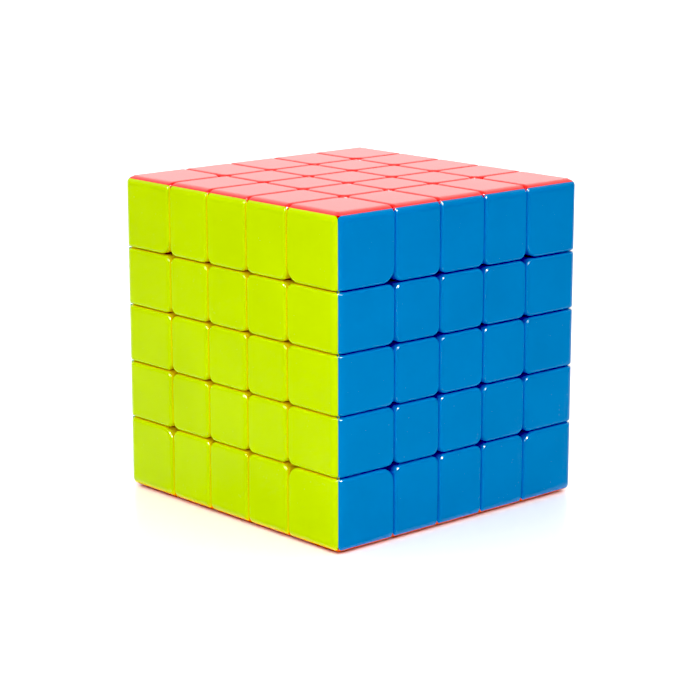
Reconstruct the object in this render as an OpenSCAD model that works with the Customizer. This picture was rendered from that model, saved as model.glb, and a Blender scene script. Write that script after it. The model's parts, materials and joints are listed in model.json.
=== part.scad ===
// Five-layer twisty puzzle cube with coloured shells right through.
// The origin is the cube's centre, where all turning axes meet. +Z is up,
// the yellow face looks along -Y and the blue face along +X.

/* [Size] */
// Length of each side of the cube
cube_size = 62; // [61:0.5:64]
// Width of each of the three inner layers
inner_layer = 11.3; // [11.1:0.1:11.6]
// Clearance between neighbouring pieces
gap = 0.14; // [0.12:0.02:0.2]

/* [Shells] */
// Thickness of the outer faces and of the walls of edge and corner pieces
wall = 2.2; // [2:0.1:2.4]
// Thickness of the side walls of the centre pieces
centre_wall = 2.5; // [2.3:0.1:2.6]
// Radius of the cube's long edges
edge_round = 2; // [1:0.1:2.2]
// Plan radius of the squares where four pieces meet
plan_round = 1.7; // [1:0.1:2.2]
// Plan radius at the inner corner of the eight corner pieces
corner_plan_round = 3; // [2:0.1:3.4]
// Plan radius of the squares where they meet the cube's long edges
outer_plan_round = 0.9; // [0.4:0.1:1.2]
// Seam between the coloured shells of one piece
seam = 0.02; // [0.02:0.01:0.1]

/* [Tracks] */
// Middle radius of the circular tracks that lock the layers together
track_radius = 27.4; // [27:0.1:27.6]
// Width of a tongue, across its circle
tongue_width = 2.4; // [2:0.1:2.6]
// Height of a tongue above its piece's side
tongue_height = 1; // [0.8:0.1:1.1]
// Running clearance of a tongue in its groove
track_clearance = 0.2; // [0.15:0.05:0.25]

/* [Core] */
// Radius of the ball in the middle
ball_radius = 9.5; // [8:0.5:11]
// Radius of the six arms
arm_radius = 3.4; // [3:0.1:4]
// Distance from the centre to the end of an arm
arm_reach = 13.2; // [13:0.1:13.4]
// Radius of the hollow ball that the centre pieces' feet slide on
foot_radius = 13.8; // [13.5:0.1:14.5]

/* [Screws] */
// Radius of a screw's shank
screw_radius = 1.2; // [1:0.05:1.3]
// Radius of a screw's head
head_radius = 2.3; // [2.1:0.1:2.4]
// Radius of a washer
washer_radius = 2.4; // [2.3:0.05:2.5]
// Radius of a spring, at the middle of its wire
spring_radius = 1.9; // [1.85:0.05:2.05]
// Thickness of the spring wire
spring_wire = 0.5; // [0.4:0.05:0.6]
// Turns of a spring
spring_turns = 4; // [3:1:5]

/* [Hidden] */
$fn = 48;
half = cube_size / 2;
outer_inside = 1.5 * inner_layer;
tube_bottom = 9;
cap_bottom = 23;
spigot_top = 25;
spigot_root = 1;
shoulder_top = 15.4;
spring_low = 15.8;
spring_high = 20.1;
washer_low = 20.5;
washer_height = 0.5;
head_low = washer_low + washer_height + 0.05;
head_height = 1.8;
slot_length = 2.8;
slot_width = 0.5;
slot_low = head_low + head_height - 1;
shank_start = 5;
shank_root = 0.5;
shank_clearance = 0.05;
hole_start = shank_start - 0.3;
stem_clearance = 0.2;
spigot_clearance = 0.05;
well_radius = 2.65;
groove_depth = tongue_height + track_clearance - gap / 2;
groove_half = tongue_width / 2 + track_clearance;
tongue_root = 2;
tongue_inset = 1.9;
corner_tongue_inset = 0.4;
spring_steps = 10;
wire_sides = 5;

// The cube's sides: name, the turn that brings the local +Z there, and colour
SIDES = [
    ["top", [0, 0, 0], "red"], ["bottom", [180, 0, 0], "darkorange"],
    ["front", [90, 0, 0], "yellow"], ["back", [90, 0, 180], "white"],
    ["right", [90, 0, 90], "dodgerblue"], ["left", [90, 0, -90], "green"]
];

// Groups of small cubes that turn together. Each has a name and the ranges
// of layers that it fills, counted from -2 to 2 along X, Y and Z.
CORNERS = [for (k = [2, -2], j = [-2, 2], i = [2, -2])
    [str("corner_", side_z(k), "_", side_y(j), "_", side_x(i)), [i, i], [j, j], [k, k]]];
LEVEL_EDGES = [for (k = [2, -2]) each [
    for (j = [-2, 2]) [str("edges_", side_z(k), "_", side_y(j)), [-1, 1], [j, j], [k, k]],
    for (i = [2, -2]) [str("edges_", side_z(k), "_", side_x(i)), [i, i], [-1, 1], [k, k]]]];
UPRIGHT_EDGES = [for (j = [-2, 2], i = [2, -2], k = [1, 0, -1])
    [str(row(k), "_edge_", side_y(j), "_", side_x(i)), [i, i], [j, j], [k, k]]];
CENTRES = [for (k = [1, 0, -1]) each [
    for (j = [-2, 2]) [str(row(k), "_centres_", side_y(j)), [-1, 1], [j, j], [k, k]],
    for (i = [2, -2]) [str(row(k), "_centres_", side_x(i)), [i, i], [-1, 1], [k, k]]]];
LEVEL_CENTRES = [for (k = [2, -2]) [str("centres_", side_z(k)), [-1, 1], [-1, 1], [k, k]]];
GROUPS = concat(CENTRES, LEVEL_CENTRES, LEVEL_EDGES, UPRIGHT_EDGES, CORNERS);

function side_x(i) = i > 0 ? "right" : "left";
function side_y(j) = j > 0 ? "back" : "front";
function side_z(k) = k > 0 ? "top" : "bottom";
function row(k) = k > 0 ? "upper" : k < 0 ? "lower" : "middle";

// The lowest and highest coordinate of layer i, with its clearance
function low(i) = i == -2 ? -half : (i - 0.5) * inner_layer + gap / 2;
function high(i) = i == 2 ? half : (i + 0.5) * inner_layer - gap / 2;

// Position in one side's own axes of the small cube i, j, k
function on_side(name, i, j, k) =
    name == "top" ? [i, j, k] : name == "bottom" ? [i, -j, -k] :
    name == "front" ? [i, k, -j] : name == "back" ? [-i, k, j] :
    name == "right" ? [j, k, i] : [-j, k, -i];

// Radius of the plan corner of square a, b that points towards u, v
function corner_round(a, b, u, v) =
    a * u == 2 && b * v == 2 ? 0 :
    a * u == 2 || b * v == 2 ? outer_plan_round :
    abs(a) == 2 && abs(b) == 2 ? corner_plan_round : plan_round;

// ---- Coloured shells, built on the top side ----

module cut_corner(x, y, u, v, r) {
    if (r > 0)
        difference() {
            translate([x - (u > 0 ? r : 1), y - (v > 0 ? r : 1)]) square(r + 1);
            translate([x - u * r, y - v * r]) circle(r);
        }
}

// Outline of square a, b seen from outside
module outline(a, b) {
    difference() {
        translate([low(a), low(b)]) square([high(a) - low(a), high(b) - low(b)]);
        for (u = [-1, 1], v = [-1, 1])
            cut_corner(u > 0 ? high(a) : low(a), v > 0 ? high(b) : low(b), u, v,
                corner_round(a, b, u, v));
    }
}

// The share of the cube's cross-section that belongs to the top side
module mitre_profile() {
    intersection() {
        difference() {
            translate([-half, 0]) square([cube_size, half]);
            for (u = [-1, 1]) cut_corner(u * half, half, u, 1, edge_round);
        }
        polygon([[0, seam / 2], [half, half + seam / 2], [-half, half + seam / 2]]);
    }
}

module mitre_x() {
    rotate([90, 0, 0]) linear_extrude(cube_size + 2, center = true) mitre_profile();
}

module mitre_y() {
    rotate([90, 0, 90]) linear_extrude(cube_size + 2, center = true) mitre_profile();
}

// Space that square a, b may fill: up to its own side's mitre planes
module own_space(a, b) {
    if (abs(a) == 2 && abs(b) == 2) intersection() {
        mitre_x();
        mitre_y();
    }
    else if (abs(a) == 2) mitre_x();
    else mitre_y();
}

// Circular track about X, from x0 to x1, of the given half width
module ring_x(x0, x1, half_width) {
    translate([x0, 0, 0]) rotate([0, 90, 0]) difference() {
        cylinder(r = track_radius + half_width, h = x1 - x0, $fn = 128);
        translate([0, 0, -1])
            cylinder(r = track_radius - half_width, h = x1 - x0 + 2, $fn = 128);
    }
}

// Groove in the outward side of square a towards s, on the X axis
module groove_x(a, s) {
    if (s > 0) ring_x(high(a) - groove_depth, high(a) + 1, groove_half);
    else ring_x(low(a) - 1, low(a) + groove_depth, groove_half);
}

// Tongue on the inward side of square a, b, on the X axis
module tongue_x(a, b) {
    s = sign(a);
    face = s > 0 ? low(a) : high(a);
    inset = abs(b) == 2 ? corner_tongue_inset : tongue_inset;
    from = s > 0 ? face - tongue_height : face - tongue_root;
    intersection() {
        ring_x(from, from + tongue_height + tongue_root, tongue_width / 2);
        translate([-half, low(b) + (b == -2 ? 0 : inset), 0])
            cube([cube_size, high(b) - low(b) - (b == -2 || b == 2 ? inset : 2 * inset), half]);
        own_space(a, b);
    }
}

// Turn that swaps the X and Y axes of a track
module swap_xy() { mirror([1, -1, 0]) children(); }

// Hollow inside square a, b; it is open towards the core on the centre squares
module hollow(a, b) {
    edge = abs(a) == 2 || abs(b) == 2;
    side = edge ? wall : centre_wall;
    bottom = edge ? outer_inside + gap / 2 + wall : 0;
    translate([low(a) + side, low(b) + side, bottom])
        cube([high(a) - low(a) - 2 * side, high(b) - low(b) - 2 * side, half - wall - bottom]);
}

// Square a, b before it is hollowed; a centre square stands on a foot
module solid_square(a, b) {
    if (abs(a) == 2 || abs(b) == 2) intersection() {
        linear_extrude(half) outline(a, b);
        own_space(a, b);
    }
    else difference() {
        union() {
            translate([0, 0, outer_inside + gap / 2])
                linear_extrude(half - outer_inside - gap / 2) outline(a, b);
            intersection() {
                translate([0, 0, tube_bottom])
                    linear_extrude(half - tube_bottom - 1) outline(a, b);
                foot_cone();
            }
        }
        sphere(r = foot_radius, $fn = 96);
    }
}

// Cone about Z that keeps the feet of the six sides clear of each other
module foot_cone() {
    translate([0, 0, tube_bottom])
        cylinder(r1 = tube_bottom - gap, r2 = half - gap, h = half - tube_bottom, $fn = 96);
}

// One coloured shell: square a, b of the top side
module shell(a, b) {
    difference() {
        union() {
            difference() {
                solid_square(a, b);
                hollow(a, b);
            }
            if (a != 0) tongue_x(a, b);
            if (b != 0) swap_xy() tongue_x(b, a);
        }
        if (a < 2 && a > -2) {
            if (a >= 0) groove_x(a, 1);
            if (a <= 0) groove_x(a, -1);
        }
        if (b < 2 && b > -2) swap_xy() {
            if (b >= 0) groove_x(b, 1);
            if (b <= 0) groove_x(b, -1);
        }
    }
}

// Every coloured shell of the small cubes in the given ranges
module group(xs, ys, zs) {
    for (side = SIDES) color(side[2]) rotate(side[1])
        for (i = [xs[0]:xs[1]], j = [ys[0]:ys[1]], k = [zs[0]:zs[1]]) {
            p = on_side(side[0], i, j, k);
            if (p[2] == 2 && (p[0] != 0 || p[1] != 0)) shell(p[0], p[1]);
        }
}

// ---- The six fixed centres: each is a cap on a stem ----

module cap(side) {
    color(side[2]) rotate(side[1]) intersection() {
        shell(0, 0);
        translate([-half, -half, cap_bottom]) cube([cube_size, cube_size, half]);
    }
}

module stem(side) {
    spigot = high(0) - centre_wall - spigot_clearance;
    color(side[2]) rotate(side[1]) difference() {
        union() {
            translate([0, 0, arm_reach + stem_clearance])
                linear_extrude(cap_bottom - seam - arm_reach - stem_clearance) outline(0, 0);
            translate([-spigot, -spigot, cap_bottom - spigot_root])
                cube([2 * spigot, 2 * spigot, spigot_top - cap_bottom + spigot_root]);
        }
        cylinder(r = screw_radius + stem_clearance, h = half);
        translate([0, 0, shoulder_top]) cylinder(r = well_radius, h = half);
    }
}

// ---- Core, with a screw, a spring and a washer on each arm ----

module on_arms() {
    for (side = SIDES) rotate(side[1]) children();
}

module core() {
    color("dimgray") difference() {
        union() {
            sphere(r = ball_radius, $fn = 96);
            on_arms() cylinder(r = arm_radius, h = arm_reach);
        }
        on_arms() translate([0, 0, hole_start])
            cylinder(r = screw_radius + shank_clearance, h = half);
    }
}

module core_screws() {
    color("silver") on_arms() difference() {
        union() {
            translate([0, 0, shank_start])
                cylinder(r = screw_radius, h = head_low + shank_root - shank_start);
            translate([0, 0, head_low]) cylinder(r = head_radius, h = head_height);
        }
        for (turn = [0, 90]) rotate([0, 0, turn])
            translate([-slot_length / 2, -slot_width / 2, slot_low])
                cube([slot_length, slot_width, head_height]);
    }
}

module core_washers() {
    color("gainsboro") on_arms() translate([0, 0, washer_low]) difference() {
        cylinder(r = washer_radius, h = washer_height);
        translate([0, 0, -1])
            cylinder(r = screw_radius + shank_clearance, h = washer_height + 2);
    }
}

// Points of a spring: a ring of wire_sides points at each step of its helix
function spring_point(step, side) =
    let (steps = spring_steps * spring_turns,
        turn = 360 * step / spring_steps,
        around = 360 * side / wire_sides,
        r = spring_radius + spring_wire / 2 * cos(around),
        z = spring_low + (spring_high - spring_low) * step / steps)
    [r * cos(turn), r * sin(turn), z + spring_wire / 2 * sin(around)];

module spring() {
    steps = spring_steps * spring_turns;
    polyhedron(
        points = [for (step = [0:steps], side = [0:wire_sides - 1]) spring_point(step, side)],
        faces = concat(
            [[for (side = [0:wire_sides - 1]) side]],
            [for (step = [0:steps - 1], side = [0:wire_sides - 1])
                let (next = (side + 1) % wire_sides, at = step * wire_sides,
                    up = at + wire_sides)
                [at + side, up + side, up + next, at + next]],
            [[for (side = [wire_sides - 1:-1:0]) steps * wire_sides + side]]));
}

module core_springs() {
    color("lightsteelblue") on_arms() spring();
}

core();
core_screws();
core_springs();
core_washers();
for (side = SIDES) {
    cap(side);
    stem(side);
}
for (g = GROUPS)
    group(g[1], g[2], g[3]);
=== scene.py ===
"""Studio picture of a five-layer twisty puzzle cube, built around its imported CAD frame."""
import json
import math

import bmesh
import bpy
from mathutils import Euler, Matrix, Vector


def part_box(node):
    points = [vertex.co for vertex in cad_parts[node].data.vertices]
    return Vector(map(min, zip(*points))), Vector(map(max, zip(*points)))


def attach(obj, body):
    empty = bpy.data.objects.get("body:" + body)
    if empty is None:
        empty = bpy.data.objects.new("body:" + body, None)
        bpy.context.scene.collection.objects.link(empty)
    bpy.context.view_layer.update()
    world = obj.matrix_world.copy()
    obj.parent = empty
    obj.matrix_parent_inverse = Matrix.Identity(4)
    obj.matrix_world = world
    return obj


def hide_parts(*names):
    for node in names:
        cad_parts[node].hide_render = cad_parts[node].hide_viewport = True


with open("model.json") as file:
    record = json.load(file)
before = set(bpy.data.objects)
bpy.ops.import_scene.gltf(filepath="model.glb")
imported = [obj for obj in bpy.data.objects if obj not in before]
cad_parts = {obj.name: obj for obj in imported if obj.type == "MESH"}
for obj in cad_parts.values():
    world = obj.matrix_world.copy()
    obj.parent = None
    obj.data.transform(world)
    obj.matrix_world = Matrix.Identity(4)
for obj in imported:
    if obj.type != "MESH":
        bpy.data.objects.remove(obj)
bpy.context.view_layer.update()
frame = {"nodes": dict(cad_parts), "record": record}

MM = 0.001

# From the cube's centre to its top side
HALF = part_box("cap_top")[1].z

# The cube's sides: colour and outward direction
SIDES = {
    "red": Vector((0, 0, 1)),
    "orange": Vector((0, 0, -1)),
    "yellow": Vector((0, -1, 0)),
    "white": Vector((0, 1, 0)),
    "blue": Vector((1, 0, 0)),
    "green": Vector((-1, 0, 0)),
}

# Base colour of each plastic, linear
PLASTIC = {
    "red": (0.80, 0.022, 0.018),
    "orange": (0.9, 0.12, 0.015),
    "yellow": (0.41, 0.565, 0.0),
    "white": (0.62, 0.62, 0.60),
    "blue": (0.0, 0.155, 0.39),
    "green": (0.0, 0.36, 0.08),
}

# Painted shade and painted light: the colour each plastic is painted inside the gaps between
# pieces and where it meets the floor, standing in for shade there and for light that has passed
# through the plastic
PAINTED_GAP_SHADE_AND_LIGHT = {
    "red": (0.60, 0.01, 0.012),
    "orange": (1.0, 0.16, 0.03),
    "yellow": (0.85, 0.64, 0.0),
    "white": (0.62, 0.60, 0.55),
    "blue": (0.0, 0.20, 0.60),
    "green": (0.0, 0.4, 0.08),
}


# ---- Materials ----

# Colours of the parts inside the cube
NYLON = (0.025, 0.025, 0.028)
NYLON_WORN = (0.05, 0.05, 0.055)
SPRING_STEEL = (0.5, 0.51, 0.55)
SCREW_STEEL = (0.62, 0.63, 0.66)
WASHER_STEEL = (0.66, 0.66, 0.66)

# How far the occlusion reaches when it marks where shade and light are painted into the gaps
PAINTED_SHADE_REACH = 2.5 * MM

# Dust on the shells: cells in a metre, size within a cell, and how strongly it shows
DUST_SCALE = 1500
DUST_SIZE = 0.14
DUST_SHOWS = 0.22

# How shiny the shells are where polished and where handled, and how strongly they mirror
POLISHED = 0.10
HANDLED = 0.18
MIRROR = 0.36

# How much of the light enters the plastic, and how far it spreads
INNER_LIGHT = 0.25
INNER_SPREAD = 0.6 * MM

# Depth of every bump
BUMP_DEPTH = 0.1 * MM


def new_material(name):
    """An empty node material, with its tree and its shader."""
    material = bpy.data.materials.new(name)
    material.use_nodes = True
    tree = material.node_tree
    tree.nodes.clear()
    shader = tree.nodes.new("ShaderNodeBsdfPrincipled")
    output = tree.nodes.new("ShaderNodeOutputMaterial")
    tree.links.new(shader.outputs["BSDF"], output.inputs["Surface"])
    return material, tree, shader


def noise(tree, scale, detail=3.0, rough=0.5):
    """Noise on the rest position, so that it stays on its piece when the piece moves."""
    place = tree.nodes.new("ShaderNodeTexCoord")
    texture = tree.nodes.new("ShaderNodeTexNoise")
    texture.inputs["Scale"].default_value = scale
    texture.inputs["Detail"].default_value = detail
    texture.inputs["Roughness"].default_value = rough
    tree.links.new(place.outputs["Object"], texture.inputs["Vector"])
    return texture.outputs["Fac"]


def ramp(tree, value, low, high, to_low, to_high):
    """Value mapped from low..high to to_low..to_high, and held there."""
    node = tree.nodes.new("ShaderNodeMapRange")
    node.inputs["From Min"].default_value = low
    node.inputs["From Max"].default_value = high
    node.inputs["To Min"].default_value = to_low
    node.inputs["To Max"].default_value = to_high
    tree.links.new(value, node.inputs["Value"])
    return node.outputs["Result"]


def combine(tree, operation, first, second):
    """Two values put together; the second one may be a plain number."""
    node = tree.nodes.new("ShaderNodeMath")
    node.operation = operation
    tree.links.new(first, node.inputs[0])
    if isinstance(second, bpy.types.NodeSocket):
        tree.links.new(second, node.inputs[1])
    else:
        node.inputs[1].default_value = second
    return node.outputs["Value"]


def mix(tree, colour, factor, other):
    """A colour, plain or linked, mixed towards a plain one by factor."""
    node = tree.nodes.new("ShaderNodeMix")
    node.data_type = "RGBA"
    if isinstance(colour, bpy.types.NodeSocket):
        tree.links.new(colour, node.inputs["A"])
    else:
        node.inputs["A"].default_value = (*colour, 1)
    node.inputs["B"].default_value = (*other, 1)
    tree.links.new(factor, node.inputs["Factor"])
    return node.outputs["Result"]


def bump(tree, shader, height, strength):
    """Raises the shader's surface a little where height is high."""
    node = tree.nodes.new("ShaderNodeBump")
    node.inputs["Strength"].default_value = strength
    node.inputs["Distance"].default_value = BUMP_DEPTH
    tree.links.new(height, node.inputs["Height"])
    tree.links.new(node.outputs["Normal"], shader.inputs["Normal"])


def painted_gap_shade_mask(tree):
    """1 deep inside the gaps between pieces and close to the floor, 0 on open faces: marks
    where shade and light are painted.
    """
    node = tree.nodes.new("ShaderNodeAmbientOcclusion")
    node.samples = 8
    node.inputs["Distance"].default_value = PAINTED_SHADE_REACH
    return ramp(tree, node.outputs["AO"], 0.25, 0.75, 1, 0)


def specks(tree, scale, size):
    """1 in small scattered dots, 0 elsewhere."""
    place = tree.nodes.new("ShaderNodeTexCoord")
    cells = tree.nodes.new("ShaderNodeTexVoronoi")
    cells.inputs["Scale"].default_value = scale
    tree.links.new(place.outputs["Object"], cells.inputs["Vector"])
    dot = ramp(tree, cells.outputs["Distance"], size, 0.6 * size, 0, 1)
    chosen = ramp(tree, noise(tree, 0.37 * scale, detail=1), 0.62, 0.66, 0, 1)
    return combine(tree, "MULTIPLY", dot, chosen)


def shell_plastic(name):
    """Satin gloss plastic, coloured right through, with flow marks, dust and handling wear, and
    with painted shade and painted light in the gaps.
    """
    colour = PLASTIC[name]
    material, tree, shader = new_material(name + "_plastic")
    flow_mark = tuple(0.94 * c for c in colour)
    dusty = tuple(0.6 * c + 0.35 for c in colour)
    flow = ramp(tree, noise(tree, 70), 0.35, 0.7, 0, 1)
    base = mix(tree, colour, flow, flow_mark)
    # Painted shade and painted light: the gap colour swapped in wherever occlusion finds a gap
    # or the floor
    base = mix(tree, base, painted_gap_shade_mask(tree), PAINTED_GAP_SHADE_AND_LIGHT[name])
    dust = combine(tree, "MULTIPLY", specks(tree, DUST_SCALE, DUST_SIZE), DUST_SHOWS)
    base = mix(tree, base, dust, dusty)
    tree.links.new(base, shader.inputs["Base Color"])
    polish = ramp(tree, noise(tree, 240, detail=6, rough=0.65), 0.3, 0.75, POLISHED, HANDLED)
    tree.links.new(polish, shader.inputs["Roughness"])
    bump(tree, shader, noise(tree, 350), 0.03)
    shader.inputs["IOR"].default_value = 1.5
    shader.inputs["Specular IOR Level"].default_value = MIRROR
    shader.inputs["Subsurface Weight"].default_value = INNER_LIGHT
    shader.inputs["Subsurface Radius"].default_value = (1, 1, 1)
    shader.inputs["Subsurface Scale"].default_value = INNER_SPREAD
    return material


def core_nylon():
    """Dark grained nylon, a little paler where it rubs."""
    material, tree, shader = new_material("core_nylon")
    shade = ramp(tree, noise(tree, 400, detail=4), 0.3, 0.7, 0, 1)
    tree.links.new(mix(tree, NYLON, shade, NYLON_WORN), shader.inputs["Base Color"])
    shader.inputs["Roughness"].default_value = 0.55
    bump(tree, shader, noise(tree, 3000), 0.2)
    return material


def plated_steel(name, colour, rough):
    """Plated steel with uneven shade and polish."""
    material, tree, shader = new_material(name)
    shade = ramp(tree, noise(tree, 700, detail=5), 0.3, 0.7, 0, 1)
    tree.links.new(mix(tree, colour, shade, tuple(0.8 * c for c in colour)),
                   shader.inputs["Base Color"])
    shader.inputs["Metallic"].default_value = 1.0
    polish = ramp(tree, noise(tree, 1500, detail=4), 0.3, 0.7, rough, rough + 0.15)
    tree.links.new(polish, shader.inputs["Roughness"])
    return material


plastics = {name: shell_plastic(name) for name in PLASTIC}


# ---- Coloured shells ----

# Rounding of a shell's rim, its steps, and how deep below the cube's side a rim can be
RIM_ROUND = 0.7 * MM
RIM_STEPS = 4
RIM_DEPTH = 1.3 * MM

# Angle from which an edge of the rim is sharp enough to round
SHARP_RIM = math.radians(30)

# Angle up to which a rounded shell is shaded smooth
SMOOTH_UP_TO = math.radians(32)

# Faces closer to flat than this are joined, and points on a line straighter than this go
FLAT = math.radians(0.8)
STRAIGHT = math.radians(2)

# Points closer than these count as one, before and after the rounding
WELD = 0.001 * MM
SLIVER = 0.001 * MM

# How far from the exact mitre plane a mitred face can be
MITRE_SLACK = 0.04 * MM


def side_of(point):
    """Name of the side whose pyramid of the cube holds the point."""
    return max(SIDES, key=lambda name: SIDES[name].dot(point))


def loose_parts(mesh):
    """The mesh as a welded copy, and its separate solids, each as a set of faces."""
    bm = bmesh.new()
    bm.from_mesh(mesh)
    bmesh.ops.remove_doubles(bm, verts=bm.verts, dist=WELD)
    bm.faces.ensure_lookup_table()
    left = set(bm.faces)
    parts = []
    while left:
        stack = [left.pop()]
        part = set(stack)
        while stack:
            for edge in stack.pop().edges:
                for face in edge.link_faces:
                    if face in left:
                        left.discard(face)
                        part.add(face)
                        stack.append(face)
        parts.append(part)
    return bm, parts


def on_mitre(face):
    """True on the slanted faces where two coloured shells meet."""
    for vert in face.verts:
        largest, second = sorted((abs(c) for c in vert.co), reverse=True)[:2]
        if largest - second > MITRE_SLACK:
            return False
    return True


def rim_edges(bm, side):
    """Sharp edges around the outside of a shell, without its mitres."""
    outward = SIDES[side]
    found = []
    for edge in bm.edges:
        if len(edge.link_faces) != 2 or edge.calc_face_angle(0) < SHARP_RIM:
            continue
        if any(on_mitre(face) for face in edge.link_faces):
            continue
        if all(vert.co.dot(outward) > HALF - RIM_DEPTH for vert in edge.verts):
            found.append(edge)
    return found


def clear_slivers(bm):
    """Removes faces with no area and points in the middle of a straight edge."""
    bmesh.ops.dissolve_degenerate(bm, dist=SLIVER, edges=bm.edges)
    straight = [vert for vert in bm.verts
                if len(vert.link_edges) == 2 and vert.calc_edge_angle(0) < STRAIGHT]
    bmesh.ops.dissolve_verts(bm, verts=straight)


def shell_piece(node, colour, source, faces):
    """A piece with the given faces of a node's mesh, its rim rounded."""
    bm = source.copy()
    bm.faces.ensure_lookup_table()
    keep = {face.index for face in faces}
    bmesh.ops.delete(bm, geom=[f for f in bm.faces if f.index not in keep], context="FACES")
    bmesh.ops.dissolve_limit(bm, angle_limit=FLAT, verts=bm.verts, edges=bm.edges,
                             delimit={"NORMAL"})
    bmesh.ops.bevel(bm, geom=rim_edges(bm, colour), offset=RIM_ROUND, offset_type="OFFSET",
                    segments=RIM_STEPS, profile=0.5, affect="EDGES", clamp_overlap=False)
    clear_slivers(bm)
    bm.normal_update()
    for face in bm.faces:
        face.smooth = True
    for edge in bm.edges:
        edge.smooth = len(edge.link_faces) == 2 and edge.calc_face_angle(0) < SMOOTH_UP_TO
    mesh = bpy.data.meshes.new(f"{node}_{colour}")
    bm.to_mesh(mesh)
    bm.free()
    piece = bpy.data.objects.new(mesh.name, mesh)
    bpy.context.scene.collection.objects.link(piece)
    piece.data.materials.append(plastics[colour])
    weigh = piece.modifiers.new("even_normals", "WEIGHTED_NORMAL")
    weigh.keep_sharp = True
    weigh.weight = 100
    return piece


def make_shells(body, node):
    """Replaces a CAD node with one rounded piece for each colour in it."""
    source, parts = loose_parts(frame["nodes"][node].data)
    by_colour = {}
    for part in parts:
        centre = sum((face.calc_center_bounds() for face in part), Vector()) / len(part)
        by_colour.setdefault(side_of(centre), set()).update(part)
    for colour in sorted(by_colour):
        piece = shell_piece(node, colour, source, by_colour[colour])
        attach(piece, body)
        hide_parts(node)
    source.free()


# ---- Core, screws, washers and springs ----

# The springs: radius to the middle of the wire, wire thickness, ends and number of turns
SPRING_RADIUS = 1.9 * MM
SPRING_WIRE = 0.5 * MM
SPRING_LOW = 15.8 * MM
SPRING_HIGH = 20.1 * MM
SPRING_TURNS = 4
SPRING_STEPS = 40
WIRE_SIDES = 12

# Turns, in degrees about X and then Z, that bring an upright spring onto each arm
ARM_TURNS = [(0, 0), (180, 0), (90, 0), (90, 180), (90, 90), (90, -90)]

# Angle from which an edge of the core, a screw or a washer is softened
SHARP_EDGE = math.radians(40)


def dress(node, material, edge):
    """Gives a CAD node that stays its own material and softens its edges."""
    thing = frame["nodes"][node]
    thing.data.materials.clear()
    thing.data.materials.append(material)
    bevel = thing.modifiers.new("soft_edges", "BEVEL")
    bevel.width = edge
    bevel.segments = 2
    bevel.limit_method = "ANGLE"
    bevel.angle_limit = SHARP_EDGE


def spring_piece(body, node):
    """Six smooth coil springs in place of the CAD's coarse ones."""
    mesh = bpy.data.meshes.new("coil_springs")
    verts, faces = [], []
    steps = SPRING_STEPS * SPRING_TURNS
    for turn_x, turn_z in ARM_TURNS:
        arm = Euler((math.radians(turn_x), 0, math.radians(turn_z))).to_matrix()
        first = len(verts)
        for step in range(steps + 1):
            angle = math.tau * step / SPRING_STEPS
            height = SPRING_LOW + (SPRING_HIGH - SPRING_LOW) * step / steps
            for side in range(WIRE_SIDES):
                around = math.tau * side / WIRE_SIDES
                radius = SPRING_RADIUS + SPRING_WIRE / 2 * math.cos(around)
                verts.append(arm @ Vector((radius * math.cos(angle), radius * math.sin(angle),
                                           height + SPRING_WIRE / 2 * math.sin(around))))
        for step in range(steps):
            for side in range(WIRE_SIDES):
                here = first + step * WIRE_SIDES
                after = (side + 1) % WIRE_SIDES
                faces.append((here + side, here + side + WIRE_SIDES,
                              here + after + WIRE_SIDES, here + after))
        end = first + steps * WIRE_SIDES
        faces.append(tuple(first + side for side in range(WIRE_SIDES)))
        faces.append(tuple(end + side for side in reversed(range(WIRE_SIDES))))
    mesh.from_pydata(verts, [], faces)
    mesh.polygons.foreach_set("use_smooth", [len(face) == 4 for face in faces])
    piece = bpy.data.objects.new(mesh.name, mesh)
    bpy.context.scene.collection.objects.link(piece)
    mesh.materials.append(plated_steel("spring_wire", SPRING_STEEL, 0.3))
    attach(piece, body)
    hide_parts(node)


# ---- Stage, light and camera ----

# The floor: half its width, gap below the cube, paleness and roughness
FLOOR_REACH = 4.0
FLOOR_DROP = 0.1 * MM
FLOOR_PALE = 0.80
FLOOR_ROUGH = 0.2

# The key light: turn, rise, distance, size and power
KEY_PLACE = (42, 30, 0.9)
KEY_SIZE = (0.4, 0.4)
KEY_POWER = 1.4

# Small lamps that make the bright points on the rims: turn, rise and power
GLINTS = [(38, 58, 3), (50, 58, 3), (69, 40, 7), (78, 40, 7), (3, 39, 2), (12, 39, 2)]
GLINT_SIZE = (0.02, 0.05)
GLINT_DISTANCE = 0.7

# The lamp over the floor in front of the cube
FLOOR_LAMP_PLACE = (46, 0, 0.22)
FLOOR_LAMP_HEIGHT = 0.3
FLOOR_LAMP_SIZE = (0.12, 0.12)
FLOOR_LAMP_POWER = 0.25
FLOOR_LAMP_SPREAD = 80

# The bright wall behind the cube: turn and rise, and how bright it is at its middle
WALL_TURN = 228
WALL_RISE = 14
WALL_BRIGHT = 0.6

# Brightness of the room below and straight above
ROOM_LOW = 0.55
ROOM_HIGH = 1.8

# Direction of the camera from the cube, its distance, and how far its aim is below the centre
CAMERA_TURN = math.radians(47.81)
CAMERA_RISE = math.radians(12.90)
CAMERA_DISTANCE = 0.4388
CAMERA_DROP = 0.0031
SENSOR = 36.0
LENS = 115.76

# Light level that the picture shows as black
BLACK = 0.055


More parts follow.
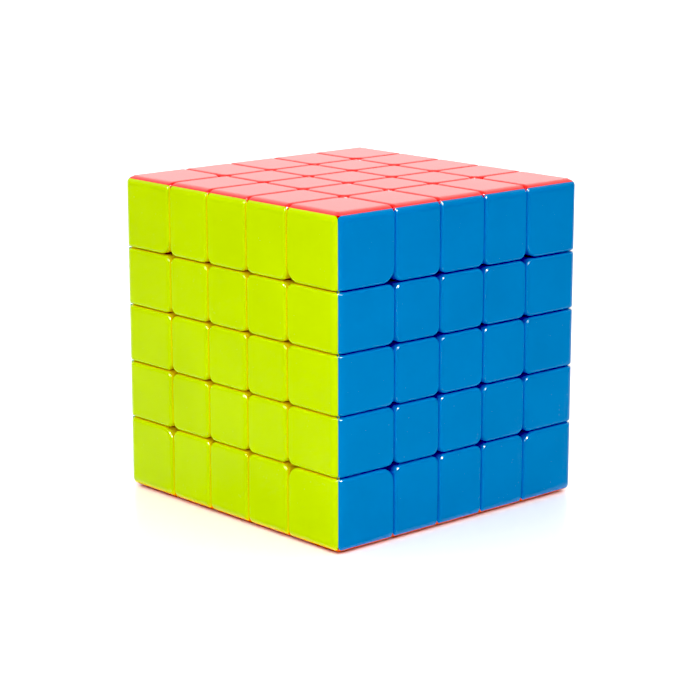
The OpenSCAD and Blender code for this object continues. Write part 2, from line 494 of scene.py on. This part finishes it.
def make_floor():
    """A wide pale floor just below the cube."""
    mesh = bpy.data.meshes.new("floor")
    z = -HALF - FLOOR_DROP
    corners = [(-1, -1), (1, -1), (1, 1), (-1, 1)]
    mesh.from_pydata([(FLOOR_REACH * x, FLOOR_REACH * y, z) for x, y in corners],
                     [], [(0, 1, 2, 3)])
    floor = bpy.data.objects.new("floor", mesh)
    bpy.context.scene.collection.objects.link(floor)
    material, tree, shader = new_material("pale_floor")
    shader.inputs["Base Color"].default_value = (FLOOR_PALE, FLOOR_PALE, FLOOR_PALE, 1)
    shader.inputs["Roughness"].default_value = FLOOR_ROUGH
    mesh.materials.append(material)


def light_place(turn, rise, distance):
    """Place at a compass turn from the yellow side, a rise above level, and a distance."""
    turn, rise = math.radians(turn), math.radians(rise)
    return (distance * math.sin(turn) * math.cos(rise),
            -distance * math.cos(turn) * math.cos(rise), distance * math.sin(rise))


def add_light(name, place, size, power, target=(0, 0, 0), spread=180, glint=False):
    """A flat lamp aimed at the target; a glint lamp shows only in reflections."""
    lamp = bpy.data.lights.new(name, "AREA")
    lamp.shape = "RECTANGLE"
    lamp.size, lamp.size_y = size
    lamp.energy = power
    lamp.spread = math.radians(spread)
    thing = bpy.data.objects.new(name, lamp)
    thing.location = place
    bpy.context.scene.collection.objects.link(thing)
    direction = Vector(target) - thing.location
    thing.rotation_euler = direction.to_track_quat("-Z", "Y").to_euler()
    thing.visible_diffuse = not glint


def make_lights():
    """The key light, the glint lamps and the lamp over the floor."""
    add_light("key", light_place(*KEY_PLACE), KEY_SIZE, KEY_POWER)
    for number, (turn, rise, power) in enumerate(GLINTS):
        add_light(f"glint_{number}", light_place(turn, rise, GLINT_DISTANCE), GLINT_SIZE, power,
                  glint=True)
    x, y, _ = light_place(*FLOOR_LAMP_PLACE)
    add_light("floor_lamp", (x, y, FLOOR_LAMP_HEIGHT), FLOOR_LAMP_SIZE, FLOOR_LAMP_POWER,
              target=(x, y, -HALF), spread=FLOOR_LAMP_SPREAD)


def make_world():
    """A pale room with a bright ceiling, and a bright wall that the top side mirrors."""
    world = bpy.data.worlds.new("pale_room")
    world.use_nodes = True
    tree = world.node_tree
    place = tree.nodes.new("ShaderNodeTexCoord")
    along = tree.nodes.new("ShaderNodeVectorMath")
    along.operation = "DOT_PRODUCT"
    along.inputs[1].default_value = Vector(light_place(WALL_TURN, WALL_RISE, 1))
    tree.links.new(place.outputs["Generated"], along.inputs[0])
    wall = ramp(tree, along.outputs["Value"], 0.6, 0.97, 0, WALL_BRIGHT)
    height = tree.nodes.new("ShaderNodeSeparateXYZ")
    tree.links.new(place.outputs["Generated"], height.inputs["Vector"])
    room = ramp(tree, height.outputs["Z"], 0.1, 0.75, ROOM_LOW, ROOM_HIGH)
    background = tree.nodes["Background"]
    tree.links.new(combine(tree, "ADD", wall, room), background.inputs["Strength"])
    background.inputs["Color"].default_value = (1, 1, 1, 1)
    bpy.context.scene.world = world


def make_camera():
    """A long lens aimed a little below the cube's centre."""
    back = Vector((math.sin(CAMERA_TURN) * math.cos(CAMERA_RISE),
                   -math.cos(CAMERA_TURN) * math.cos(CAMERA_RISE), math.sin(CAMERA_RISE)))
    side = Vector((math.cos(CAMERA_TURN), math.sin(CAMERA_TURN), 0))
    up = back.cross(side)
    lens = bpy.data.cameras.new("camera")
    lens.sensor_width = SENSOR
    lens.lens = LENS
    lens.clip_start = 0.01
    camera = bpy.data.objects.new("camera", lens)
    target = -up * CAMERA_DROP
    camera.location = target + back * CAMERA_DISTANCE
    camera.rotation_euler = back.to_track_quat("Z", "Y").to_euler()
    bpy.context.scene.collection.objects.link(camera)
    bpy.context.scene.camera = camera


def make_film():
    """A clear, contrasty look, with its black a little above no light at all."""
    settings = bpy.context.scene.view_settings
    settings.view_transform = "Standard"
    settings.use_curve_mapping = True
    settings.curve_mapping.black_level = (BLACK, BLACK, BLACK)
    settings.curve_mapping.update()


for body, nodes in frame["record"]["behaviour"]["bodies"].items():
    for node in nodes:
        if node == "core_springs":
            spring_piece(body, node)
        elif not node.startswith("core"):
            make_shells(body, node)

dress("core", core_nylon(), 0.25 * MM)
dress("core_screws", plated_steel("plated_screws", SCREW_STEEL, 0.25), 0.12 * MM)
dress("core_washers", plated_steel("washer_steel", WASHER_STEEL, 0.35), 0.06 * MM)

make_floor()
make_world()
make_camera()
make_lights()
make_film()
